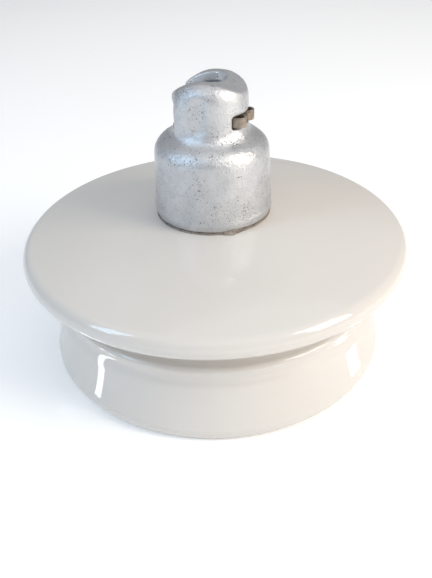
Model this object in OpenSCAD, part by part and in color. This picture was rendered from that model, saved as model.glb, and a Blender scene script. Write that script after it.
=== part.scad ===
// Cap-and-pin disc insulator: a double-shed porcelain shell, an iron socket cap
// cemented on its head, a steel ball pin cemented in its bore, and a locking clip.
// Millimetres, +Z up, z = 0 at the lower rim, the axis of the string on Z.
// The socket's side mouth opens towards -X and the clip's loops stand out at +X.

/* [Porcelain] */
// Diameter of the upper shed
shed_d = 255; // [240:1:320]
// Height of the upper shed's rim, from the lower rim to the middle of its nose
rim_z = 79.5; // [70:0.5:100]
// Radius of the upper rim's rounded nose
nose_r = 7.5; // [5:0.5:9]
// Slope of the top surface beside the cap, in degrees
cap_slope = 5; // [2:0.5:8]
// Slope of the top surface at the rim, in degrees
rim_slope = 13; // [10:0.5:18]
// Overhang of the upper shed past the lower skirt
overhang = 12.5; // [8:0.5:18]
// Thickness of the lower skirt at its rim
skirt_t = 13.5; // [11:0.5:18]
// Thickness of the disc beside the pin
disc_t = 17; // [14:0.5:22]
// Thickness of the wall behind the groove
wall_t = 13; // [11:0.5:18]
// Thickness of porcelain between the bore and the outside of the head
head_wall = 9.5; // [8:0.25:14]
// Height of the porcelain head above the cap's base
head_h = 43; // [38:0.5:52]
// Thickness of porcelain between the bore's end and the crown
crown_t = 13; // [10:0.5:18]

/* [Cap] */
// Thickness of iron in the bell at its shoulder
bell_t = 5; // [4:0.25:8]
// Outward flare of the bell from its shoulder to its base
bell_flare = 2; // [0:0.25:4]
// Drop from the porcelain's crown to the foot of the shoulder's rounding
shoulder_drop = 3.5; // [2:0.5:6]
// Radius of the shoulder's rounding
shoulder_r = 12; // [8:0.5:14]
// Thickness of iron between the socket and the outside of the neck
neck_t = 5.8; // [5:0.1:9]
// Radius of the fillet between the shoulder and the neck
neck_fillet = 9; // [5:0.5:12]
// Thickness of iron between the bell's cavity and the socket's floor
web_t = 12.2; // [10:0.1:20]
// Thickness of iron above the ball's bearing face
roof_t = 5.6; // [5:0.1:12]

/* [Coupling] */
// Spacing: from the ball's bearing face in the socket to the pin's own ball
spacing = 146; // [140:1:185]
// Diameter of the pin's shank
shank_d = 17; // [13:0.5:19]
// Diameter of the ball
ball_d = 33.3; // [28:0.1:35]
// Height of the ball
ball_h = 13.4; // [11:0.1:15]
// Radius of the ball's spherical bearing face
face_r = 23; // [20:0.5:26]
// How far the pin's cemented head stands out past its shank
pin_flare = 5.5; // [4:0.5:8]
// Side play between the ball and the socket's walls
ball_play = 0.85; // [0.6:0.05:1.2]
// Side play between a shank and its slot
shank_play = 1.25; // [0.8:0.05:1.6]

/* [Locking clip] */
// Height of the strip that the clip is bent from
strip_h = 6.2; // [5:0.1:6.5]
// Thickness of the strip
strip_t = 1.4; // [1:0.1:1.8]
// Mean radius of the clip's bends
bend_r = 3.5; // [2.5:0.1:3.7]
// How far the clip's outer loops stand out of the neck when it is locked
clip_out = 2.2; // [1:0.1:4]
// Play round the strip in its slot
clip_play = 0.6; // [0.4:0.05:0.8]
// Height of the slot's sill above the socket's floor
clip_sill = 1.5; // [1:0.1:2]
// Gap between the top of the clip's slot and the seated ball
clip_gap = 0.6; // [0.4:0.1:2]

/* [Cement and linings] */
// Thickness of cement between the porcelain head and the bell's mouth
cap_cement_t = 4.5; // [4:0.25:7]
// Thickness of cement between the pin's head and the bore
pin_cement_t = 3.5; // [3:0.25:6]
// Thickness of the sand glazed on to the porcelain
sand_t = 0.8; // [0.5:0.1:1.2]
// Thickness of the bitumen films on the iron and on the pin
film_t = 0.4; // [0.3:0.1:0.8]
// Thickness of the cushions at the ends of the head and of the pin
cushion_t = 2.5; // [1.5:0.25:4]
// Height of the cement bead between the disc and the cap's base
bead_t = 0.8; // [0.5:0.1:2]

/* [Hidden] */
$fn = 96;

// Radii, counted outwards from the pin and from the ball.
ball_r = ball_d / 2;
shank_r = shank_d / 2;
socket_r = ball_r + ball_play;
neck_r = socket_r + neck_t;
pin_head_r = shank_r + pin_flare;
bore_r = pin_head_r + pin_cement_t;
head_r = bore_r + head_wall;
bell_in_r = head_r + cap_cement_t;
bell_r = bell_in_r + bell_t;

// The disc's top surface is one long arc from the cap to the nose of the rim.
shed_r = shed_d / 2;
crease_r = shed_r - nose_r * (1 - sin(rim_slope));
crease_z = rim_z + nose_r * cos(rim_slope);
seat_fillet = 5;
seat_r = head_r + seat_fillet;
top_curve = (crease_r - seat_r) / (sin(rim_slope) - sin(cap_slope));
seat_z = crease_z + top_curve * (cos(cap_slope) - cos(rim_slope));

// The lower skirt hangs from a groove under the overhanging rim.
skirt_r = shed_r - overhang;
skirt_round = 8;
skirt_lean = 13;
skirt_in_round = 5;
skirt_in_lean = 20;
ridge_r = skirt_r - 6.5;
ridge_z = rim_z - 30;
ridge_round = 3;
groove_fillet = 5;
groove_r = ridge_r - ridge_round - groove_fillet;
skirt_in_r = skirt_r - skirt_t;
wall_low = [skirt_r - skirt_round * (1 - cos(skirt_lean)), skirt_round * (1 + sin(skirt_lean))];
wall_bow = tan(skirt_lean) * (ridge_z - wall_low[1]) / (wall_low[0] - ridge_r);

// Inside, a smooth wall rises to a vault that falls outwards from the boss round the pin.
vault_slope = 10;
vault_fillet = 16;
vault_r = groove_r - wall_t;
boss_r = bore_r + 13;
boss_round = 4;
cove_r = 5;
cove_z = seat_z - disc_t - cove_r;
boss_z = cove_z - boss_round;
mouth_round = 2;
vault_run = (vault_r - vault_fillet * (1 - sin(vault_slope))) - (boss_r + cove_r * (1 - sin(vault_slope)));
vault_z = cove_z + (cove_r - vault_fillet) * cos(vault_slope) - vault_run * tan(vault_slope);
inner_low = [skirt_in_r + skirt_in_round * (1 - cos(skirt_in_lean)), skirt_in_round * (1 - sin(skirt_in_lean))];
inner_bow = tan(skirt_in_lean) * (vault_z - inner_low[1]) / (inner_low[0] - vault_r);

// Heights of the cap, counted up from its base.
cap_z = seat_z + bead_t;
crown_z = cap_z + head_h;
crown_round = 9;
cavity_z = crown_z + cushion_t;
floor_z = cavity_z + web_t;
clip_slot_h = strip_h + 2 * clip_play;
seat_face_z = floor_z + clip_sill + clip_slot_h + clip_gap + ball_h;
top_z = seat_face_z + roof_t;
bore_z = crown_z - crown_t;
bell_h = head_h - shoulder_drop;
base_chamfer = 1.2;
base_r = bell_r + bell_flare - base_chamfer;
lip_h = 5;
key_depth = 1.2;
key_h = 5;
key_pitch = 10;
cavity_taper = 0.5;
cavity_round = 7;
cushion_r = head_r - crown_round - 0.5;
head_sand_z = seat_z + seat_fillet + 1;
head_sand_h = crown_z - crown_round - 1 - head_sand_z;

// The socket: a round seat, a ball-wide mouth and a shank-wide slot towards -X.
mouth_w = 2 * socket_r;
mouth_h = ball_h + 1.4;
slot_r = shank_r + shank_play;
reach = neck_r + 12;
head_low_z = floor_z - 8;
dome_round = 12;
cheek_r = 12;
cheek_x = 16 - neck_r;
cheek_y = neck_r - cheek_r - 0.5;
cheek_dome = 18;
crest_r = neck_r + 10;
crest_x = 2;
valley_r = 16;
valley_depth = 1.5;
valley_x = 1.5;

// The pin hangs below the socket's bearing face by the spacing.
pin_face_z = seat_face_z - spacing;
ball_z = pin_face_z - ball_h;
ball_land_z = pin_face_z - sqrt(pow(face_r, 2) - pow(shank_r, 2)) + sqrt(pow(face_r, 2) - pow(ball_r, 2));
ball_round = 4.5;
pin_top_z = bore_z - cushion_t;
pin_neck_r = shank_r + pin_flare - 3;
pin_mouth_z = boss_z + 3;
bore_round = 4;
bore_sand_z = pin_mouth_z + 3;
bore_sand_h = bore_z - bore_round - 1 - bore_sand_z;

// The clip: two hairpin loops outside, one bend inside and two splayed ends.
clip_z = floor_z + clip_sill + clip_play;
loop_y = 2 * bend_r;
leg_y = 3 * bend_r;
clip_slot_w = 2 * (leg_y + strip_t / 2 + 3 * clip_play);
clip_slot_in = socket_r - 8;
loop_x = neck_r + clip_out - bend_r - strip_t / 2;
inner_bend_x = loop_x - 12;
splay_x = 2;
tip_x = -4;
tip_y = leg_y + 2.8;

// Points on an arc about [x, z], from angle a to angle b in n steps.
function arc(x, z, r, a, b, n) =
    [for (i = [0:n]) [x + r * cos(a + (b - a) * i / n), z + r * sin(a + (b - a) * i / n)]];

// A spherical bearing face that meets radius a at height z, from radius b in to a.
function bearing(z, a, b, n) = arc(0, z - sqrt(pow(face_r, 2) - pow(a, 2)), face_r,
                                   acos(b / face_r), acos(a / face_r), n);

// The outline of the skirt's outer wall, from the ridge to the lower rim.
function skirt_wall(n) =
    [for (i = [1:n - 1]) [ridge_r + (wall_low[0] - ridge_r) * pow(i / n, wall_bow),
                          ridge_z - (ridge_z - wall_low[1]) * i / n]];

// The outline of the skirt's inner wall, from the lower rim up to the vault.
function inner_wall(n) =
    [for (i = [1:n - 1]) [vault_r + (inner_low[0] - vault_r) * pow(1 - i / n, inner_bow),
                          inner_low[1] + (vault_z - inner_low[1]) * i / n]];

// Half section of the porcelain, clockwise from the crown.
porcelain_half = concat(
    [[0, crown_z]],
    arc(head_r - crown_round, crown_z - crown_round, crown_round, 90, 0, 8),
    arc(seat_r, seat_z + seat_fillet, seat_fillet, 180, 270 - cap_slope, 6),
    arc(seat_r - top_curve * sin(cap_slope), seat_z - top_curve * cos(cap_slope), top_curve,
        90 - cap_slope, 90 - rim_slope, 16),
    arc(shed_r - nose_r, rim_z, nose_r, 90 - rim_slope, -100, 14),
    arc(groove_r + groove_fillet, rim_z - nose_r - groove_fillet + 2, groove_fillet, 95, 180, 6),
    arc(groove_r + groove_fillet, ridge_z + ridge_round + groove_fillet, groove_fillet, 180, 270, 6),
    arc(ridge_r - ridge_round, ridge_z, ridge_round, 75, 0, 5),
    skirt_wall(10),
    arc(skirt_r - skirt_round, skirt_round, skirt_round, skirt_lean, -90, 8),
    arc(skirt_in_r + skirt_in_round, skirt_in_round, skirt_in_round,
        -90, skirt_in_lean - 180, 6),
    inner_wall(8),
    arc(vault_r - vault_fillet, vault_z, vault_fillet, 0, 90 - vault_slope, 8),
    arc(boss_r + cove_r, cove_z, cove_r, 90 + vault_slope, 180, 5),
    arc(boss_r - boss_round, cove_z, boss_round, -10, -90, 5),
    arc(bore_r + mouth_round, boss_z + mouth_round, mouth_round, -90, -180, 4),
    arc(bore_r - bore_round, bore_z - bore_round, bore_round, 0, 90, 5),
    [[0, bore_z]]);

// Half section of the cap's cavity, drawn in by a film thickness f, with its cement keys.
function cavity_half(f) = concat(
    [[0, cap_z - 0.01], [bell_in_r - f, cap_z - 0.01]],
    [for (i = [0:2]) each
        let (r = bell_in_r - f - i * cavity_taper, z = cap_z + 4 + i * key_pitch)
        [[r, z + f], [r + key_depth, z + 1.5 + f], [r + key_depth, z + key_h - f],
         [r - cavity_taper, z + key_h + 2 - f]]],
    arc(head_r + 1 - f - cavity_round, cavity_z - f - cavity_round, cavity_round, 0, 90, 6),
    [[0, cavity_z - f]]);

// Half section of the part of the pin that is cemented in, grown by a film thickness f.
function pin_head_half(f) =
    [[0, pin_mouth_z - 6], [shank_r + f, pin_mouth_z - 6], [pin_neck_r + f, pin_mouth_z + 4],
     [pin_neck_r + f, pin_top_z - 26], [pin_head_r + f, pin_top_z - 16], [pin_head_r + f, pin_top_z - 9],
     [pin_neck_r + f, pin_top_z - 4], [pin_neck_r + f, pin_top_z], [0, pin_top_z]];

// Half section of the ball and the shank below the cemented part.
ball_half = concat(
    [[0, ball_z]],
    arc(ball_r - ball_round, ball_z + ball_round, ball_round, -90, 0, 7),
    bearing(pin_face_z, shank_r, ball_r, 6),
    [[shank_r, pin_mouth_z - 5], [0, pin_mouth_z - 5]]);

// The centre line of one half of the clip, from the inner bend to the splayed end.
clip_half = concat(
    arc(inner_bend_x, 0, bend_r, 180, 90, 6),
    arc(loop_x, loop_y, bend_r, -90, 90, 12),
    [[splay_x + 4, leg_y], [splay_x, leg_y + 0.5], [tip_x, tip_y]]);

// The direction of a path at point i, averaged over its two sides.
function heading(p, i) = let (a = p[max(i - 1, 0)], b = p[min(i + 1, len(p) - 1)], d = b - a) d / norm(d);

// A path's points, moved sideways by s.
function beside(p, s) = [for (i = [0:len(p) - 1]) p[i] + s * [-heading(p, i)[1], heading(p, i)[0]]];

// A path's points in reverse order.
function backwards(p) = [for (i = [len(p) - 1:-1:0]) p[i]];

// A ribbon of thickness t along a path.
module ribbon(p, t) {
    polygon(concat(beside(p, t / 2), backwards(beside(p, -t / 2))));
}

module porcelain_body() {
    color("gainsboro")
        rotate_extrude() polygon(porcelain_half);
}

// Outline of the bell, the shoulder and the neck, as far up as the head.
function bell_half() =
    let (cx = bell_r - shoulder_r, nx = neck_r + neck_fillet,
         rise = sqrt(pow(shoulder_r + neck_fillet, 2) - pow(nx - cx, 2)),
         a = atan2(rise, nx - cx), sz = cap_z + bell_h)
    concat(
        [[0, cap_z], [base_r, cap_z],
         [bell_r + bell_flare, cap_z + lip_h], [bell_r + bell_flare - 0.6, cap_z + lip_h + 2.5]],
        arc(cx, sz, shoulder_r, 0, a, 8),
        arc(nx, sz + rise, neck_fillet, a + 180, 180, 7),
        [[neck_r, floor_z], [0, floor_z]]);

// A round post with a domed top, of radius r, whose dome has the radii w across and h up.
module domed_post(r, top, w, h) {
    dome = [for (i = [0:8]) [r - w + w * cos(i * 90 / 8), top - h + h * sin(i * 90 / 8)]];
    rotate_extrude() polygon(concat([[0, head_low_z], [r, head_low_z]], dome, [[0, top]]));
}

// The barrel that the head's crest follows, falling towards the mouth and the closed end.
module crest() {
    translate([crest_x, 0, top_z - crest_r]) rotate([90, 0, 0])
        cylinder(r = crest_r, h = 4 * neck_r, center = true);
    translate([-2 * neck_r, -2 * neck_r, head_low_z - 1])
        cube([4 * neck_r, 4 * neck_r, top_z - crest_r - head_low_z + 1]);
}

// The head: a round closed end and two cheeks beside the mouth, with a valley between.
module head() {
    intersection() {
        difference() {
            union() {
                domed_post(neck_r, top_z + 1, dome_round, dome_round);
                for (side = [-1, 1])
                    translate([cheek_x, side * cheek_y]) domed_post(cheek_r, top_z + 0.5, cheek_r, cheek_dome);
            }
            for (side = [-1, 1])
                translate([valley_x, side * (neck_r + valley_r - valley_depth), head_low_z - 1])
                    cylinder(r = valley_r, h = top_z);
        }
        crest();
    }
}

// The space that a ball and its shank take as they come in from the side and lift into the seat.
module socket_space() {
    rotate_extrude() polygon(concat([[0, floor_z], [socket_r, floor_z]],
                                    bearing(seat_face_z, slot_r, socket_r, 6), [[0, seat_face_z]]));
    translate([-reach, -mouth_w / 2, floor_z]) cube([reach, mouth_w, mouth_h]);
    translate([0, 0, floor_z + 1]) cylinder(r = slot_r, h = reach);
    translate([-reach, -slot_r, floor_z + 1]) cube([reach, 2 * slot_r, reach]);
}

module cap() {
    color("lightgrey")
        difference() {
            union() {
                rotate_extrude() polygon(bell_half());
                head();
            }
            rotate_extrude() polygon(cavity_half(0));
            socket_space();
            translate([clip_slot_in, -clip_slot_w / 2, floor_z + clip_sill])
                cube([reach, clip_slot_w, clip_slot_h]);
        }
}

module ball_pin() {
    color("silver")
        rotate_extrude() union() {
            polygon(ball_half);
            polygon(pin_head_half(0));
        }
}

module head_sand_band() {
    color("wheat")
        translate([0, 0, head_sand_z])
            difference() {
                cylinder(r = head_r + sand_t, h = head_sand_h);
                translate([0, 0, -1]) cylinder(r = head_r, h = head_h);
            }
}

module bore_sand_band() {
    color("wheat")
        translate([0, 0, bore_sand_z])
            difference() {
                cylinder(r = bore_r, h = bore_sand_h);
                translate([0, 0, -1]) cylinder(r = bore_r - sand_t, h = bore_z);
            }
}

module cap_bitumen_lining() {
    color("dimgray")
        rotate_extrude() intersection() {
            difference() {
                polygon(cavity_half(0));
                polygon(cavity_half(film_t));
            }
            translate([0, cap_z + 1]) square([bell_in_r * 2, cavity_z - film_t - cap_z - 1]);
        }
}

module pin_bitumen_coat() {
    color("dimgray")
        rotate_extrude() intersection() {
            difference() {
                polygon(pin_head_half(film_t));
                polygon(pin_head_half(0));
            }
            translate([0, pin_mouth_z + 1]) square([bore_r, pin_top_z - pin_mouth_z - 2]);
        }
}

module head_cushion() {
    color("tan")
        translate([0, 0, crown_z]) cylinder(r = cushion_r, h = cushion_t - film_t);
}

module pin_cushion() {
    color("tan")
        translate([0, 0, pin_top_z]) cylinder(r = pin_neck_r, h = cushion_t);
}

// Cement fills what is left between the cap, the sanded head and the cushion, and
// squeezes out as a bead under the cap's base.
module cap_cement() {
    color("darkgray")
        difference() {
            rotate_extrude() difference() {
                union() {
                    polygon(cavity_half(film_t));
                    translate([head_r, seat_z - 1]) square([base_r - head_r, cap_z - seat_z + 1]);
                }
                polygon(porcelain_half);
                square([bore_r, crown_z]);
            }
            translate([0, 0, head_sand_z]) cylinder(r = head_r + sand_t, h = head_sand_h);
            translate([0, 0, crown_z - 1]) cylinder(r = cushion_r, h = cushion_t + 5);
        }
}

module pin_cement() {
    color("darkgray")
        rotate_extrude() difference() {
            polygon(concat([[0, pin_mouth_z], [bore_r, pin_mouth_z]],
                           arc(bore_r - bore_round, bore_z - bore_round, bore_round, 0, 90, 5),
                           [[0, bore_z]]));
            intersection() {
                polygon(pin_head_half(film_t));
                translate([0, pin_mouth_z + 1]) square([bore_r, pin_top_z - pin_mouth_z - 2]);
            }
            polygon(pin_head_half(0));
            translate([bore_r - sand_t, bore_sand_z]) square([2 * sand_t, bore_sand_h]);
            translate([0, pin_top_z]) square([pin_neck_r, cushion_t + 1]);
        }
}

module locking_clip() {
    color("peru")
        translate([0, 0, clip_z]) linear_extrude(strip_h)
            ribbon(concat([for (p = backwards(clip_half)) [p[0], -p[1]]],
                          [for (i = [1:len(clip_half) - 1]) clip_half[i]]), strip_t);
}

porcelain_body();
cap();
ball_pin();
cap_cement();
pin_cement();
head_sand_band();
bore_sand_band();
cap_bitumen_lining();
pin_bitumen_coat();
head_cushion();
pin_cushion();
locking_clip();
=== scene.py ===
import math

import bmesh
import bpy
import numpy as np
from mathutils import Matrix, Vector, noise


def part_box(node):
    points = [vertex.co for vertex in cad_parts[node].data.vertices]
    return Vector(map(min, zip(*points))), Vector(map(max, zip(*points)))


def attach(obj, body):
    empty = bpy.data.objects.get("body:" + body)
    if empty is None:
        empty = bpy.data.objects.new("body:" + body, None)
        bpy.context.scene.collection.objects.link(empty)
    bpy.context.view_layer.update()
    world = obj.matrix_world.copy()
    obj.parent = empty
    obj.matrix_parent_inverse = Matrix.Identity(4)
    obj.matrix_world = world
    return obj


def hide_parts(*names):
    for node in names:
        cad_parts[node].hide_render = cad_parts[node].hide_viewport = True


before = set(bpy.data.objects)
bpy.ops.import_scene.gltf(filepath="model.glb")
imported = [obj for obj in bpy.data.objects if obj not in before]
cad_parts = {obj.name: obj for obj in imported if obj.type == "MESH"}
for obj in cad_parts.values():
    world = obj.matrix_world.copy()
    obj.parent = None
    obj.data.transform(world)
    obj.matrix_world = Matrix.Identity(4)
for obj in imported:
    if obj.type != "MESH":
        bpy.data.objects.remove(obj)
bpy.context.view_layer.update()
print("frame loaded")

# The frame's own heights and widths, which every piece below is worked out from.
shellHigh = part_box("porcelain_body")[1]
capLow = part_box("cap")[0]
pinLow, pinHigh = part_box("ball_pin")
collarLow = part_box("pin_cement")[0]
clipLow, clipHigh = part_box("locking_clip")

shedRadius = shellHigh.x
crownZ = shellHigh.z
capBaseZ = capLow.z
body = "insulator"


# camera
view = {
    "azimuth": 22.0,        # degrees, 0 looks along +Y
    "pitch": 33.9,          # down from level
    "roll": -1.9,
    "distance": 0.470,      # to the middle of the upper rim
    "focal": 1.1915,        # in picture heights
    "sideways": -0.0019,    # the rim's middle from the view's centre line, as slopes
    "upwards": 0.0777,
    "rimMiddle": 0.0795,
}


def makeCamera(v):
    a, e, roll = (math.radians(v[k]) for k in ("azimuth", "pitch", "roll"))
    right = Vector((math.cos(a), math.sin(a), 0))
    ahead = Vector((-math.sin(a) * math.cos(e), math.cos(a) * math.cos(e), -math.sin(e)))
    up = right.cross(ahead)
    camRight = math.cos(roll) * right + math.sin(roll) * up
    camUp = math.cos(roll) * up - math.sin(roll) * right
    toRim = (ahead + v["sideways"] * camRight + v["upwards"] * camUp).normalized()
    data = bpy.data.cameras.new("camera")
    data.lens = v["focal"] * data.sensor_width
    data.clip_start = 0.01
    camera = bpy.data.objects.new("camera", data)
    bpy.context.scene.collection.objects.link(camera)
    place = Vector((0, 0, v["rimMiddle"])) - v["distance"] * toRim
    turn = Matrix((camRight, camUp, -ahead)).transposed().to_4x4()
    camera.matrix_world = Matrix.Translation(place) @ turn
    bpy.context.scene.camera = camera
    return camera


makeCamera(view)


# mesh helpers
def addPiece(name, mesh):
    piece = bpy.data.objects.new(name, mesh)
    bpy.context.scene.collection.objects.link(piece)
    return piece


def arc(r, z, radius, start, end, steps):
    angles = np.radians(np.linspace(start, end, steps + 1))
    return [(r + radius * math.cos(t), z + radius * math.sin(t)) for t in angles]


def spin(name, outline, turns=240):
    # turns an outline of (radius, height) points into a round mesh, closed at the axis
    bm = bmesh.new()
    rings = []
    kept = [outline[0]] + [b for a, b in zip(outline, outline[1:]) if math.dist(a, b) > 2e-5]
    for r, z in kept:
        if r < 1e-7:
            rings.append([bm.verts.new((0, 0, z))])
        else:
            rings.append([bm.verts.new((r * math.cos(2 * math.pi * i / turns),
                                        r * math.sin(2 * math.pi * i / turns), z)) for i in range(turns)])
    for low, high in zip(rings[:-1], rings[1:]):
        for i in range(turns):
            j = (i + 1) % turns
            corner = [low[i % len(low)], low[j % len(low)], high[j % len(high)], high[i % len(high)]]
            loop = list(dict.fromkeys(corner))
            if len(loop) > 2:
                bm.faces.new(loop)
    bmesh.ops.recalc_face_normals(bm, faces=bm.faces)
    mesh = bpy.data.meshes.new(name)
    bm.to_mesh(mesh)
    bm.free()
    mesh.shade_smooth()
    return addPiece(name, mesh)


def applyModifiers(piece):
    graph = bpy.context.evaluated_depsgraph_get()
    mesh = bpy.data.meshes.new_from_object(piece.evaluated_get(graph))
    piece.modifiers.clear()
    old = piece.data
    piece.data = mesh
    bpy.data.meshes.remove(old)
    mesh.shade_smooth()
    return piece


def pushOut(piece, depth):
    # moves every point along its normal by depth(point, normal)
    mesh = piece.data
    count = len(mesh.vertices)
    places, normals = np.empty(count * 3), np.empty(count * 3)
    mesh.vertices.foreach_get("co", places)
    mesh.vertex_normals.foreach_get("vector", normals)
    places, normals = places.reshape(-1, 3), normals.reshape(-1, 3)
    steps = np.array([depth(Vector(p), Vector(n)) for p, n in zip(places, normals)])
    mesh.vertices.foreach_set("co", (places + normals * steps[:, None]).ravel())
    mesh.update()


# porcelain shell
shell = {
    "rimMiddle": 0.0795,
    "noseRadius": 0.0075,
    "capSlope": 5.0,          # of the top surface, in degrees, beside the cap and at the rim
    "rimSlope": 13.0,
    "headRadius": 0.027,
    "crownRound": 0.009,
    "headFoot": 0.005,
    "overhang": 0.0125,
    "skirtThickness": 0.0135,
    "skirtRound": 0.008,
    "skirtLean": 13.0,
    "innerRound": 0.005,
    "innerLean": 20.0,
    "ridgeStep": 0.0065,      # the ridge stands this far in from the skirt's widest line
    "ridgeDrop": 0.030,
    "ridgeRound": 0.003,
    "lipDrop": 0.0055,        # the shallow hollow under the ridge: place, depth and width
    "lipDepth": 0.0016,
    "lipWidth": 0.0045,
    "grooveFillet": 0.005,
    "wall": 0.013,
    "disc": 0.017,
    "vaultSlope": 10.0,
    "vaultFillet": 0.016,
    "bossWidth": 0.013,
    "bossRound": 0.004,
    "cove": 0.005,
    "boreRadius": 0.0175,
    "boreEnd": 0.013,
    "mouthRound": 0.002,
    "waviness": 0.00016,      # how far the thrown and glazed surface wanders
    "wavinessScale": 22,
}


def shellOutline(s):
    sinRim, cosRim = math.sin(math.radians(s["rimSlope"])), math.cos(math.radians(s["rimSlope"]))
    sinCap, cosCap = math.sin(math.radians(s["capSlope"])), math.cos(math.radians(s["capSlope"]))
    seatR = s["headRadius"] + s["headFoot"]
    creaseR = shedRadius - s["noseRadius"] * (1 - sinRim)
    creaseZ = s["rimMiddle"] + s["noseRadius"] * cosRim
    bigCurve = (creaseR - seatR) / (sinRim - sinCap)
    seatZ = creaseZ + bigCurve * (cosCap - cosRim)
    skirtR = shedRadius - s["overhang"]
    ridgeR, ridgeZ = skirtR - s["ridgeStep"], s["rimMiddle"] - s["ridgeDrop"]
    fillet = s["grooveFillet"]
    grooveR = ridgeR - s["ridgeRound"] - fillet
    innerR = skirtR - s["skirtThickness"]
    sinOut, cosOut = math.sin(math.radians(s["skirtLean"])), math.cos(math.radians(s["skirtLean"]))
    sinIn, cosIn = math.sin(math.radians(s["innerLean"])), math.cos(math.radians(s["innerLean"]))
    lowR, lowZ = skirtR - s["skirtRound"] * (1 - cosOut), s["skirtRound"] * (1 + sinOut)
    bow = sinOut / cosOut * (ridgeZ - lowZ) / (lowR - ridgeR)
    vaultR = grooveR - s["wall"]
    bossR = s["boreRadius"] + s["bossWidth"]
    coveZ = seatZ - s["disc"] - s["cove"]
    bossZ = coveZ - s["bossRound"]
    sinVault = math.sin(math.radians(s["vaultSlope"]))
    cosVault = math.cos(math.radians(s["vaultSlope"]))
    run = (vaultR - s["vaultFillet"] * (1 - sinVault)) - (bossR + s["cove"] * (1 - sinVault))
    vaultZ = coveZ + (s["cove"] - s["vaultFillet"]) * cosVault - run * sinVault / cosVault
    inLowR, inLowZ = innerR + s["innerRound"] * (1 - cosIn), s["innerRound"] * (1 - sinIn)
    inBow = sinIn / cosIn * (vaultZ - inLowZ) / (inLowR - vaultR)
    boreZ = crownZ - s["boreEnd"]
    outer = []
    for k in np.linspace(0, 1, 50)[1:-1]:
        z = ridgeZ - (ridgeZ - lowZ) * k
        away = (ridgeZ - z - s["lipDrop"]) / s["lipWidth"]
        outer.append((ridgeR + (lowR - ridgeR) * k ** bow - s["lipDepth"] * math.exp(-away ** 2), z))
    inner = [(vaultR + (inLowR - vaultR) * (1 - k) ** inBow, inLowZ + (vaultZ - inLowZ) * k)
             for k in np.linspace(0, 1, 26)[1:-1]]
    ceiling = s["vaultFillet"] * cosVault + vaultZ
    coveEnd = coveZ + s["cove"] * cosVault
    flat = [(bossR + s["cove"] * (1 - sinVault) + run * k, coveEnd + (ceiling - coveEnd) * k)
            for k in np.linspace(1, 0, 12)[1:-1]]
    return ([(0, crownZ)]
            + arc(s["headRadius"] - s["crownRound"], crownZ - s["crownRound"], s["crownRound"], 90, 0, 10)
            + arc(seatR, seatZ + s["headFoot"], s["headFoot"], 180, 270 - s["capSlope"], 8)
            + arc(seatR - bigCurve * sinCap, seatZ - bigCurve * cosCap, bigCurve,
                  90 - s["capSlope"], 90 - s["rimSlope"], 60)
            + arc(shedRadius - s["noseRadius"], s["rimMiddle"], s["noseRadius"], 90 - s["rimSlope"], -100, 30)
            + arc(grooveR + fillet, s["rimMiddle"] - s["noseRadius"] - fillet + 0.002, fillet, 95, 180, 12)
            + arc(grooveR + fillet, ridgeZ + s["ridgeRound"] + fillet, fillet, 180, 270, 12)
            + arc(ridgeR - s["ridgeRound"], ridgeZ, s["ridgeRound"], 75, 0, 10)
            + outer
            + arc(skirtR - s["skirtRound"], s["skirtRound"], s["skirtRound"], s["skirtLean"], -90, 18)
            + arc(innerR + s["innerRound"], s["innerRound"], s["innerRound"], -90, s["innerLean"] - 180, 12)
            + inner
            + arc(vaultR - s["vaultFillet"], vaultZ, s["vaultFillet"], 0, 90 - s["vaultSlope"], 16)
            + flat
            + arc(bossR + s["cove"], coveZ, s["cove"], 90 + s["vaultSlope"], 180, 10)
            + arc(bossR - s["bossRound"], coveZ, s["bossRound"], -10, -90, 10)
            + arc(s["boreRadius"] + s["mouthRound"], bossZ + s["mouthRound"], s["mouthRound"], -90, -180, 6)
            + [(s["boreRadius"], boreZ - 0.004), (s["boreRadius"] - 0.004, boreZ), (0, boreZ)])


def makeShell(s):
    piece = spin("porcelainShell", shellOutline(s))
    # slow swells left by throwing and glazing, none where the shell stands on its rim
    def swell(p, n):
        fade = min(1, max(0, (p.z - 0.004) / 0.01))
        return s["waviness"] * fade * noise.noise(p * s["wavinessScale"])
    pushOut(piece, swell)
    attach(piece, body)
    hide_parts("porcelain_body")
    return piece


porcelainShell = makeShell(shell)
print("porcelain shell made")


# cap
casting = {
    "grain": 0.00055,         # size of the remeshed faces
    "smoothing": 22,          # passes that round the cast edges
    "swell": 0.00030,         # slow unevenness of the mould
    "skin": 0.00010,          # sand-cast roughness under the zinc
    "swellScale": 90,
    "skinScale": 900,
}


def makeCap(c):
    piece = addPiece("capCasting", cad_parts["cap"].data.copy())
    bm = bmesh.new()
    bm.from_mesh(piece.data)
    bmesh.ops.remove_doubles(bm, verts=bm.verts, dist=1e-6)
    bm.to_mesh(piece.data)
    bm.free()
    remesh = piece.modifiers.new("remesh", "REMESH")
    remesh.mode = "VOXEL"
    remesh.voxel_size = c["grain"]
    smooth = piece.modifiers.new("smooth", "SMOOTH")
    smooth.factor = 0.5
    smooth.iterations = c["smoothing"]
    applyModifiers(piece)

    def roughen(p, n):
        slow = noise.noise(p * c["swellScale"]) * c["swell"]
        fine = noise.fractal(p * c["skinScale"], 0.9, 2.1, 3) * c["skin"]
        return slow + fine - c["skin"]
    pushOut(piece, roughen)
    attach(piece, body)
    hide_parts("cap")
    return piece


capCasting = makeCap(casting)
print("cap made:", len(capCasting.data.vertices), "points")


# locking clip
clip = {
    "thickness": 0.0014,
    "bend": 0.0035,           # mean radius of each bend
    "innerBend": -0.012,      # middle of the inner bend, from the middle of the loops
    "splay": 0.002,
    "tip": -0.004,
    "tipSpread": 0.0028,
    "edge": 0.00030,          # rounding of the strip's edges
    "legEnd": 0.010,          # where the straight leg begins
}


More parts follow.
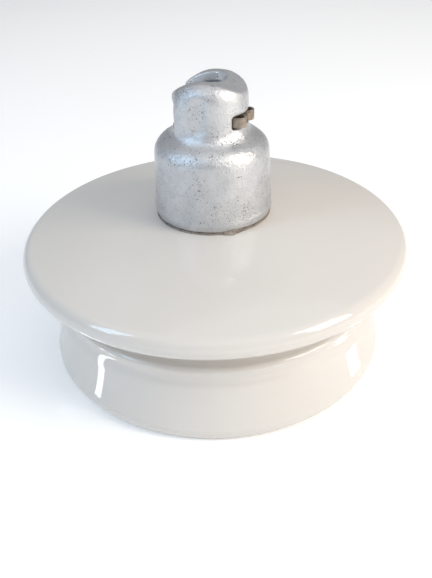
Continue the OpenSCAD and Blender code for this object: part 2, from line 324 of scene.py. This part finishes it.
def clipPath(c):
    b = c["bend"]
    loopX = clipHigh.x - b - c["thickness"] / 2
    half = (arc(loopX + c["innerBend"], 0, b, 180, 90, 10) + arc(loopX, 2 * b, b, -90, 90, 24)
            + [(c["legEnd"], 3 * b), (c["splay"] + 0.004, 3 * b), (c["splay"], 3 * b + 0.0005),
               ((c["splay"] + c["tip"]) / 2, 3 * b + 0.0018), (c["tip"], 3 * b + c["tipSpread"])])
    return [Vector((x, -y)) for x, y in reversed(half)] + [Vector((x, y)) for x, y in half[1:]]


def makeClip(c):
    path = clipPath(c)
    bm = bmesh.new()
    t = c["thickness"] / 2
    rings = []
    for i, p in enumerate(path):
        ahead = (path[min(i + 1, len(path) - 1)] - path[max(i - 1, 0)]).normalized()
        side = Vector((-ahead.y, ahead.x))
        a, b = p + t * side, p - t * side
        rings.append([bm.verts.new((q.x, q.y, z)) for q, z in
                      ((a, clipLow.z), (b, clipLow.z), (b, clipHigh.z), (a, clipHigh.z))])
    for low, high in zip(rings[:-1], rings[1:]):
        for k in range(4):
            bm.faces.new((low[k], low[(k + 1) % 4], high[(k + 1) % 4], high[k]))
    bm.faces.new(rings[0][::-1])
    bm.faces.new(rings[-1])
    bmesh.ops.recalc_face_normals(bm, faces=bm.faces)
    mesh = bpy.data.meshes.new("clipStrip")
    bm.to_mesh(mesh)
    bm.free()
    piece = addPiece("clipStrip", mesh)
    bevel = piece.modifiers.new("bevel", "BEVEL")
    bevel.width = c["edge"]
    bevel.segments = 3
    bevel.angle_limit = math.radians(50)
    applyModifiers(piece)
    piece.data.set_sharp_from_angle(angle=math.radians(50))
    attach(piece, "clip")
    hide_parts("locking_clip")
    return piece


clipStrip = makeClip(clip)
print("clip made")


# ball pin
pin = {
    "shank": 0.0085,
    "ball": 0.01665,
    "ballHeight": 0.0134,
    "ballRound": 0.0045,
    "face": 0.023,            # radius of the spherical bearing face
    "filletUnder": 0.0022,
    "neck": 0.011,
    "head": 0.014,
    "flatShare": 0.55,        # of the ball's radius, flat at its bottom
    "faceDrop": 0.0004,
    "waver": 0.00008,         # unevenness of the forging
    "waverScale": 260,
}


def bearing(z, inner, outer, radius, steps):
    middle = z - math.sqrt(radius ** 2 - inner ** 2)
    start, end = (math.degrees(math.acos(r / radius)) for r in (outer, inner))
    return arc(0, middle, radius, start, end, steps)


def makePin(p):
    low = pinLow.z
    faceZ = low + p["ballHeight"]
    mouth = collarLow.z
    top = pinHigh.z
    f = p["filletUnder"]
    outline = ([(0, low), (p["ball"] * p["flatShare"], low)]
               + arc(p["ball"] - p["ballRound"], low + p["ballRound"], p["ballRound"], -90, 0, 14)
               + bearing(faceZ - p["faceDrop"], p["shank"] + 0.0012, p["ball"], p["face"], 14)
               + arc(p["shank"] + f, faceZ + f - p["faceDrop"], f, 235, 180, 6)
               + [(p["shank"], mouth - 0.012), (p["shank"], mouth - 0.006), (p["neck"], mouth + 0.004),
                  (p["neck"], top - 0.026), (p["head"], top - 0.016), (p["head"], top - 0.009),
                  (p["neck"], top - 0.004), (p["neck"], top), (0, top)])
    piece = spin("forgedPin", outline, 96)
    pushOut(piece, lambda q, n: p["waver"] * (noise.noise(q * p["waverScale"]) - 1))
    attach(piece, body)
    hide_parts("ball_pin")
    return piece


forgedPin = makePin(pin)
print("pin made")


# cement
bead = {
    "inside": 0.0335,
    "outside": 0.0367,        # where the bead ends under the cap's edge
    "proud": 0.0007,          # how far lumps squeeze out past it
    "turns": 420,
    "chipAngle": -52.0,       # the broken-off lump, in degrees from +X
    "chipSpan": 11.0,
    "seed": 4,
    "lumpScale": 9,
    "topScale": 30,
    "grit": 0.00018,
    "gritScale": 1300,
}


def discTop(r):
    # height of the porcelain's top surface at radius r
    s = shell
    sinRim, cosRim = math.sin(math.radians(s["rimSlope"])), math.cos(math.radians(s["rimSlope"]))
    sinCap = math.sin(math.radians(s["capSlope"]))
    creaseR = shedRadius - s["noseRadius"] * (1 - sinRim)
    seatR = s["headRadius"] + s["headFoot"]
    big = (creaseR - seatR) / (sinRim - sinCap)
    middleR, middleZ = creaseR - big * sinRim, s["rimMiddle"] + s["noseRadius"] * cosRim - big * cosRim
    return middleZ + math.sqrt(big ** 2 - (r - middleR) ** 2)


def makeBead(b):
    bm = bmesh.new()
    rings = []
    shift = Vector((b["seed"], 0, 0))
    for i in range(b["turns"]):
        t = 2 * math.pi * i / b["turns"]
        way = Vector((math.cos(t), math.sin(t), 0))
        lump = noise.fractal(way * b["lumpScale"] + shift, 0.8, 2.2, 4)
        away = abs((math.degrees(t) - b["chipAngle"] + 180) % 360 - 180) / b["chipSpan"]
        chip = max(0, 1 - away ** 2)
        out = b["outside"] + b["proud"] * (max(-0.6, lump) + 3.2 * chip)
        top = capBaseZ + 0.0007 + 0.0004 * noise.noise(way * b["topScale"]) + 0.0007 * chip
        low = discTop(out) - 0.0003
        mid = b["outside"] + 0.7 * (out - b["outside"])
        section = [(b["inside"], discTop(b["inside"]) - 0.0003), (out, low), (out + 0.0002, low + 0.0005),
                   (mid, capBaseZ - 0.0001 + 0.0006 * chip), (b["outside"] - 0.0012, top), (b["inside"], top)]
        rings.append([bm.verts.new((r * way.x, r * way.y, z)) for r, z in section])
    for k in range(len(rings)):
        low, high = rings[k], rings[(k + 1) % len(rings)]
        for j in range(6):
            bm.faces.new((low[j], low[(j + 1) % 6], high[(j + 1) % 6], high[j]))
    bmesh.ops.recalc_face_normals(bm, faces=bm.faces)
    mesh = bpy.data.meshes.new("cementBead")
    bm.to_mesh(mesh)
    bm.free()
    piece = addPiece("cementBead", mesh)
    sub = piece.modifiers.new("sub", "SUBSURF")
    sub.levels = 1
    applyModifiers(piece)
    pushOut(piece, lambda p, n: b["grit"] * noise.fractal(p * b["gritScale"], 0.8, 2, 3))
    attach(piece, body)
    return piece


cementBead = makeBead(bead)


collar = {
    "inside": 0.0084,
    "outside": 0.0176,
    "rings": 14,
    "turns": 150,
    "sag": 0.0009,            # how far the trowelled face dips between the pin and the bore
    "grit": 0.0004,
    "gritScale": 500,
}


def makeCollar(c):
    bm = bmesh.new()
    rows = []
    for i in range(c["rings"] + 1):
        k = i / c["rings"]
        r = c["inside"] + (c["outside"] - c["inside"]) * k
        z = collarLow.z - 0.0006 + c["sag"] * math.sin(math.pi * k)
        row = []
        for j in range(c["turns"]):
            t = 2 * math.pi * j / c["turns"]
            p = Vector((r * math.cos(t), r * math.sin(t), z))
            p.z += c["grit"] * noise.fractal(p * c["gritScale"], 0.8, 2, 4)
            row.append(bm.verts.new(p))
        rows.append(row)
    back = [[bm.verts.new((v.co.x, v.co.y, collarLow.z + 0.002)) for v in row] for row in (rows[0], rows[-1])]
    rows = [back[0]] + rows + [back[1]]
    for low, high in zip(rows, rows[1:] + rows[:1]):
        for j in range(c["turns"]):
            n = (j + 1) % c["turns"]
            bm.faces.new((low[j], low[n], high[n], high[j]))
    bmesh.ops.recalc_face_normals(bm, faces=bm.faces)
    mesh = bpy.data.meshes.new("pinCollar")
    bm.to_mesh(mesh)
    bm.free()
    mesh.shade_smooth()
    piece = addPiece("pinCollar", mesh)
    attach(piece, body)
    return piece


pinCollar = makeCollar(collar)
print("cement made")


# Shared surface effects, each a node group with its own inputs in every material.
def newGroup(name, inputs, outputs):
    group = bpy.data.node_groups.new(name, "ShaderNodeTree")
    for label, kind, value in inputs:
        socket = group.interface.new_socket(name=label, in_out="INPUT", socket_type=kind)
        socket.default_value = value
    for label, kind in outputs:
        group.interface.new_socket(name=label, in_out="OUTPUT", socket_type=kind)
    enter = group.nodes.new("NodeGroupInput")
    leave = group.nodes.new("NodeGroupOutput")
    return group, enter, leave


def addNode(tree, kind, **settings):
    node = tree.nodes.new(kind)
    for key, value in settings.items():
        if key in node.inputs:
            node.inputs[key].default_value = value
        else:
            setattr(node, key, value)
    return node


def buildMottle():
    # slow patches of one colour over another
    group, enter, leave = newGroup(
        "mottle",
        [("Light", "NodeSocketColor", (1, 1, 1, 1)), ("Dark", "NodeSocketColor", (0, 0, 0, 1)),
         ("Scale", "NodeSocketFloat", 20.0), ("Contrast", "NodeSocketFloat", 1.0),
         ("Shift", "NodeSocketFloat", 0.0)],
        [("Color", "NodeSocketColor"), ("Mask", "NodeSocketFloat")])
    link = group.links.new
    where = addNode(group, "ShaderNodeTexCoord")
    cloud = addNode(group, "ShaderNodeTexNoise", noise_dimensions="4D", Detail=5.0, Roughness=0.6)
    centre = addNode(group, "ShaderNodeMath", operation="SUBTRACT")
    centre.inputs[1].default_value = 0.5
    stretch = addNode(group, "ShaderNodeMath", operation="MULTIPLY_ADD", use_clamp=True)
    stretch.inputs[2].default_value = 0.5
    mix = addNode(group, "ShaderNodeMix", data_type="RGBA")
    link(where.outputs["Object"], cloud.inputs["Vector"])
    link(enter.outputs["Scale"], cloud.inputs["Scale"])
    link(enter.outputs["Shift"], cloud.inputs["W"])
    link(cloud.outputs["Fac"], centre.inputs[0])
    link(centre.outputs[0], stretch.inputs[0])
    link(enter.outputs["Contrast"], stretch.inputs[1])
    link(stretch.outputs[0], mix.inputs[0])
    link(enter.outputs["Light"], mix.inputs[6])
    link(enter.outputs["Dark"], mix.inputs[7])
    link(mix.outputs[2], leave.inputs["Color"])
    link(stretch.outputs[0], leave.inputs["Mask"])
    return group


def buildPits():
    # small round pits, gathered in patches
    group, enter, leave = newGroup(
        "pits",
        [("Scale", "NodeSocketFloat", 600.0), ("Size", "NodeSocketFloat", 0.3),
         ("Patches", "NodeSocketFloat", 60.0), ("Amount", "NodeSocketFloat", 0.5)],
        [("Mask", "NodeSocketFloat"), ("Height", "NodeSocketFloat")])
    link = group.links.new
    where = addNode(group, "ShaderNodeTexCoord")
    warp = addNode(group, "ShaderNodeTexNoise", Detail=2.0)
    bend = addNode(group, "ShaderNodeVectorMath", operation="MULTIPLY_ADD")
    bend.inputs[1].default_value = (0.0012, 0.0012, 0.0012)
    cells = addNode(group, "ShaderNodeTexVoronoi", feature="F1")
    roundEdge = addNode(group, "ShaderNodeMath", operation="SUBTRACT")
    deep = addNode(group, "ShaderNodeMath", operation="MULTIPLY", use_clamp=True)
    deep.inputs[1].default_value = 6.0
    cloud = addNode(group, "ShaderNodeTexNoise", Detail=4.0, Roughness=0.65)
    edge = addNode(group, "ShaderNodeMath", operation="SUBTRACT")
    edge.inputs[0].default_value = 1.0
    lift = addNode(group, "ShaderNodeMath", operation="SUBTRACT")
    patch = addNode(group, "ShaderNodeMath", operation="MULTIPLY", use_clamp=True)
    patch.inputs[1].default_value = 9.0
    mask = addNode(group, "ShaderNodeMath", operation="MULTIPLY")
    height = addNode(group, "ShaderNodeMath", operation="MULTIPLY")
    height.inputs[1].default_value = -1.0
    link(where.outputs["Object"], warp.inputs["Vector"])
    link(enter.outputs["Scale"], warp.inputs["Scale"])
    link(warp.outputs["Color"], bend.inputs[0])
    link(where.outputs["Object"], bend.inputs[2])
    link(bend.outputs[0], cells.inputs["Vector"])
    link(enter.outputs["Scale"], cells.inputs["Scale"])
    link(enter.outputs["Size"], roundEdge.inputs[0])
    link(cells.outputs["Distance"], roundEdge.inputs[1])
    link(roundEdge.outputs[0], deep.inputs[0])
    link(where.outputs["Object"], cloud.inputs["Vector"])
    link(enter.outputs["Patches"], cloud.inputs["Scale"])
    link(enter.outputs["Amount"], edge.inputs[1])
    link(cloud.outputs["Fac"], lift.inputs[0])
    link(edge.outputs[0], lift.inputs[1])
    link(lift.outputs[0], patch.inputs[0])
    link(deep.outputs[0], mask.inputs[0])
    link(patch.outputs[0], mask.inputs[1])
    link(mask.outputs[0], height.inputs[0])
    link(mask.outputs[0], leave.inputs["Mask"])
    link(height.outputs[0], leave.inputs["Height"])
    return group


def buildGrain():
    # fine grain for bumps: two noises, a coarse and a fine
    group, enter, leave = newGroup(
        "grain",
        [("Coarse", "NodeSocketFloat", 300.0), ("Fine", "NodeSocketFloat", 1200.0),
         ("Balance", "NodeSocketFloat", 0.5)],
        [("Height", "NodeSocketFloat")])
    link = group.links.new
    where = addNode(group, "ShaderNodeTexCoord")
    big = addNode(group, "ShaderNodeTexNoise", Detail=3.0, Roughness=0.6)
    small = addNode(group, "ShaderNodeTexNoise", Detail=3.0, Roughness=0.7)
    mix = addNode(group, "ShaderNodeMix", data_type="FLOAT")
    for source, label in ((big, "Coarse"), (small, "Fine")):
        link(where.outputs["Object"], source.inputs["Vector"])
        link(enter.outputs[label], source.inputs["Scale"])
    link(enter.outputs["Balance"], mix.inputs[0])
    link(big.outputs["Fac"], mix.inputs[2])
    link(small.outputs["Fac"], mix.inputs[3])
    link(mix.outputs[0], leave.inputs["Height"])
    return group


mottleGroup = buildMottle()
pitsGroup = buildPits()
grainGroup = buildGrain()


def newMaterial(name):
    material = bpy.data.materials.new(name)
    material.use_nodes = True
    tree = material.node_tree
    tree.nodes.clear()
    shader = tree.nodes.new("ShaderNodeBsdfPrincipled")
    out = tree.nodes.new("ShaderNodeOutputMaterial")
    tree.links.new(shader.outputs[0], out.inputs[0])
    return material, tree, shader


def useGroup(tree, group, **values):
    node = tree.nodes.new("ShaderNodeGroup")
    node.node_tree = group
    for label, value in values.items():
        node.inputs[label].default_value = (*value, 1) if isinstance(value, tuple) else value
    return node


def roughnessFrom(tree, shader, mask, low, high):
    spread = tree.nodes.new("ShaderNodeMapRange")
    spread.inputs["To Min"].default_value = low
    spread.inputs["To Max"].default_value = high
    tree.links.new(mask, spread.inputs["Value"])
    tree.links.new(spread.outputs[0], shader.inputs["Roughness"])


def bumpFrom(tree, shader, height, distance, before=None):
    bump = tree.nodes.new("ShaderNodeBump")
    bump.inputs["Distance"].default_value = distance
    tree.links.new(height, bump.inputs["Height"])
    if before is not None:
        tree.links.new(before.outputs["Normal"], bump.inputs["Normal"])
    tree.links.new(bump.outputs["Normal"], shader.inputs["Normal"])
    return bump


def darken(tree, color, mask, dark):
    mix = addNode(tree, "ShaderNodeMix", data_type="RGBA")
    mix.inputs[7].default_value = (*dark, 1)
    tree.links.new(mask, mix.inputs[0])
    tree.links.new(color, mix.inputs[6])
    return mix.outputs[2]


def paint(piece, material):
    piece.data.materials.clear()
    piece.data.materials.append(material)


# porcelain: a thick grey-white glaze with faint cloudiness and a few iron specks
def porcelainMaterial():
    material, tree, shader = newMaterial("greyGlaze")
    link = tree.links.new
    cloud = useGroup(tree, mottleGroup, Light=(0.672, 0.642, 0.604), Dark=(0.636, 0.602, 0.563), Scale=9.0,
                     Contrast=2.0, Shift=3.0)
    specks = useGroup(tree, pitsGroup, Scale=85.0, Size=0.045, Patches=30.0, Amount=0.47)
    color = darken(tree, cloud.outputs["Color"], specks.outputs["Mask"], (0.10, 0.085, 0.07))
    link(color, shader.inputs["Base Color"])
    film = useGroup(tree, mottleGroup, Scale=45.0, Contrast=2.5, Shift=8.0)
    roughnessFrom(tree, shader, film.outputs["Mask"], 0.035, 0.09)
    flow = useGroup(tree, grainGroup, Coarse=60.0, Fine=420.0, Balance=0.12)
    bumpFrom(tree, shader, flow.outputs["Height"], 0.00012)
    shader.inputs["IOR"].default_value = 1.52
    return material


# hot-dip galvanised sand casting: fine grain, clustered pits, dull and bright patches
def castingMaterial():
    material, tree, shader = newMaterial("galvanisedCasting")
    link = tree.links.new
    zinc = useGroup(tree, mottleGroup, Light=(0.70, 0.705, 0.715), Dark=(0.52, 0.525, 0.54), Scale=90.0,
                    Contrast=1.8, Shift=1.0)
    pits = useGroup(tree, pitsGroup, Scale=640.0, Size=0.31, Patches=75.0, Amount=0.51)
    fine = useGroup(tree, pitsGroup, Scale=1300.0, Size=0.32, Patches=300.0, Amount=0.56)
    color = darken(tree, zinc.outputs["Color"], pits.outputs["Mask"], (0.13, 0.12, 0.115))
    color = darken(tree, color, fine.outputs["Mask"], (0.24, 0.235, 0.235))
    link(color, shader.inputs["Base Color"])
    shader.inputs["Metallic"].default_value = 0.78
    roughnessFrom(tree, shader, zinc.outputs["Mask"], 0.25, 0.40)
    skin = useGroup(tree, grainGroup, Coarse=640.0, Fine=1600.0, Balance=0.4)
    bump = bumpFrom(tree, shader, skin.outputs["Height"], 0.00052)
    bumpFrom(tree, shader, pits.outputs["Height"], 0.00025, bump)
    return material


def forgingMaterial():
    material, tree, shader = newMaterial("galvanisedForging")
    zinc = useGroup(tree, mottleGroup, Light=(0.60, 0.61, 0.625), Dark=(0.42, 0.43, 0.45), Scale=160.0,
                    Contrast=3.0, Shift=5.0)
    tree.links.new(zinc.outputs["Color"], shader.inputs["Base Color"])
    shader.inputs["Metallic"].default_value = 0.85
    roughnessFrom(tree, shader, zinc.outputs["Mask"], 0.30, 0.50)
    skin = useGroup(tree, grainGroup, Coarse=350.0, Fine=1500.0, Balance=0.4)
    bumpFrom(tree, shader, skin.outputs["Height"], 0.00016)
    return material


def cementMaterial():
    material, tree, shader = newMaterial("oldCement")
    sandy = useGroup(tree, mottleGroup, Light=(0.42, 0.36, 0.31), Dark=(0.15, 0.125, 0.105), Scale=420.0,
                     Contrast=3.0, Shift=2.0)
    holes = useGroup(tree, pitsGroup, Scale=900.0, Size=0.33, Patches=200.0, Amount=0.55)
    color = darken(tree, sandy.outputs["Color"], holes.outputs["Mask"], (0.05, 0.04, 0.035))
    tree.links.new(color, shader.inputs["Base Color"])
    roughnessFrom(tree, shader, sandy.outputs["Mask"], 0.80, 0.95)
    skin = useGroup(tree, grainGroup, Coarse=900.0, Fine=3000.0, Balance=0.5)
    bumpFrom(tree, shader, skin.outputs["Height"], 0.0007)
    return material


def clipMaterial():
    material, tree, shader = newMaterial("dullBronze")
    aged = useGroup(tree, mottleGroup, Light=(0.44, 0.37, 0.30), Dark=(0.20, 0.16, 0.125), Scale=260.0,
                    Contrast=2.6, Shift=6.0)
    tree.links.new(aged.outputs["Color"], shader.inputs["Base Color"])
    shader.inputs["Metallic"].default_value = 0.7
    roughnessFrom(tree, shader, aged.outputs["Mask"], 0.32, 0.55)
    drawn = useGroup(tree, grainGroup, Coarse=500.0, Fine=2600.0, Balance=0.5)
    bumpFrom(tree, shader, drawn.outputs["Height"], 0.0001)
    return material


def plainMaterial(name, light, dark, scale, low, high, depth):
    material, tree, shader = newMaterial(name)
    patches = useGroup(tree, mottleGroup, Light=light, Dark=dark, Scale=scale, Contrast=3.0, Shift=4.0)
    tree.links.new(patches.outputs["Color"], shader.inputs["Base Color"])
    roughnessFrom(tree, shader, patches.outputs["Mask"], low, high)
    skin = useGroup(tree, grainGroup, Coarse=scale * 3, Fine=scale * 8, Balance=0.5)
    bumpFrom(tree, shader, skin.outputs["Height"], depth)
    return material


cementLook = cementMaterial()
paint(porcelainShell, porcelainMaterial())
paint(capCasting, castingMaterial())
paint(forgedPin, forgingMaterial())
paint(cementBead, cementLook)
paint(pinCollar, cementLook)
paint(clipStrip, clipMaterial())
gritLook = plainMaterial("firedGrit", (0.62, 0.55, 0.44), (0.36, 0.31, 0.25), 500.0, 0.7, 0.9, 0.0006)
bitumenLook = plainMaterial("bitumen", (0.030, 0.028, 0.026), (0.012, 0.011, 0.010), 150.0, 0.35, 0.6, 0.0002)
corkLook = plainMaterial("cork", (0.46, 0.30, 0.17), (0.24, 0.15, 0.08), 420.0, 0.8, 0.95, 0.0005)
hiddenLooks = {
    "cap_cement": cementLook, "pin_cement": cementLook,
    "head_sand_band": gritLook, "bore_sand_band": gritLook,
    "cap_bitumen_lining": bitumenLook, "pin_bitumen_coat": bitumenLook,
    "head_cushion": corkLook, "pin_cushion": corkLook,
}
for node, look in hiddenLooks.items():
    paint(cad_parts[node], look)
print("materials made")


# studio: pale floor, white surroundings and soft lights, placed by bearing from the camera's own
studio = {
    "floorSize": 30.0,
    "floorColor": (0.94, 0.94, 0.94, 1),
    "floorGlow": 0.13,        # lifts the far floor to white
    "surround": (0.80, 0.82, 0.86, 1),
    "surroundStrength": 0.44,
    "target": (0, 0, 0.09),
}
lights = [
    # name, bearing to the camera's right, height angle, distance, width, height, watts, colour, mirrored
    ("overhead", 20, 78, 1.6, 2.6, 2.6, 11, (1.0, 0.975, 0.94), True),
    ("coolWindow", -64, 34, 1.3, 0.32, 0.7, 5.2, (0.52, 0.75, 1.0), True),
    ("warmRoom", 62, 30, 1.3, 0.55, 0.8, 12, (1.0, 0.93, 0.84), True),
    ("frontFill", 45, 14, 1.4, 0.9, 0.5, 1.0, (1.0, 0.94, 0.86), False),
    ("backFill", 175, 40, 1.6, 1.2, 0.8, 3, (1.0, 0.98, 0.95), False),
]
cards = [
    # seen only as reflections in the skirt: bearing, distance, height, width, tall, watts, colour
    ("skirtStreak", -50.5, 0.134, 0.0205, 0.008, 0.039, 0.010, (0.82, 0.93, 1.0)),
    ("skirtGlint", 61.5, 0.134, 0.0090, 0.018, 0.016, 0.010, (1.0, 0.96, 0.88)),
]


def makeStudio(s):
    mesh = bpy.data.meshes.new("floor")
    half = s["floorSize"] / 2
    corners = [(-half, -half, 0), (half, -half, 0), (half, half, 0), (-half, half, 0)]
    mesh.from_pydata(corners, [], [(0, 1, 2, 3)])
    floor = addPiece("floor", mesh)
    material, tree, shader = newMaterial("paleFloor")
    shader.inputs["Base Color"].default_value = s["floorColor"]
    shader.inputs["Roughness"].default_value = 0.9
    shader.inputs["Emission Color"].default_value = (1, 1, 1, 1)
    shader.inputs["Emission Strength"].default_value = s["floorGlow"]
    paint(floor, material)
    world = bpy.data.worlds.new("surround")
    world.use_nodes = True
    bpy.context.scene.world = world
    tree = world.node_tree
    tree.nodes.clear()
    out = tree.nodes.new("ShaderNodeOutputWorld")
    seen = addNode(tree, "ShaderNodeBackground", Color=(1, 1, 1, 1), Strength=1.0)
    felt = addNode(tree, "ShaderNodeBackground", Color=s["surround"], Strength=s["surroundStrength"])
    ray = tree.nodes.new("ShaderNodeLightPath")
    mix = tree.nodes.new("ShaderNodeMixShader")
    tree.links.new(ray.outputs["Is Camera Ray"], mix.inputs[0])
    tree.links.new(felt.outputs[0], mix.inputs[1])
    tree.links.new(seen.outputs[0], mix.inputs[2])
    tree.links.new(mix.outputs[0], out.inputs[0])


def addSoftbox(name, bearing, rise, distance, width, height, watts, color, mirrored):
    data = bpy.data.lights.new(name, "AREA")
    data.shape = "RECTANGLE"
    data.size, data.size_y = width, height
    data.energy = watts
    data.color = color
    light = bpy.data.objects.new(name, data)
    light.visible_glossy = mirrored
    bpy.context.scene.collection.objects.link(light)
    a, e = math.radians(view["azimuth"] + bearing), math.radians(rise)
    away = Vector((math.sin(a) * math.cos(e), -math.cos(a) * math.cos(e), math.sin(e)))
    place = Vector(studio["target"]) + distance * away
    light.matrix_world = Matrix.Translation(place) @ away.to_track_quat("Z", "Y").to_matrix().to_4x4()
    return light


def addCard(name, bearing, distance, height, width, tall, watts, color):
    card = addSoftbox(name, bearing, 0, distance, width, tall, watts, color, True)
    card.location.z = height
    card.visible_camera = False
    card.visible_diffuse = False


makeStudio(studio)
for row in lights:
    addSoftbox(*row)
for row in cards:
    addCard(*row)
bpy.context.scene.view_settings.view_transform = "Standard"
bpy.context.scene.view_settings.look = "None"
print("studio made")
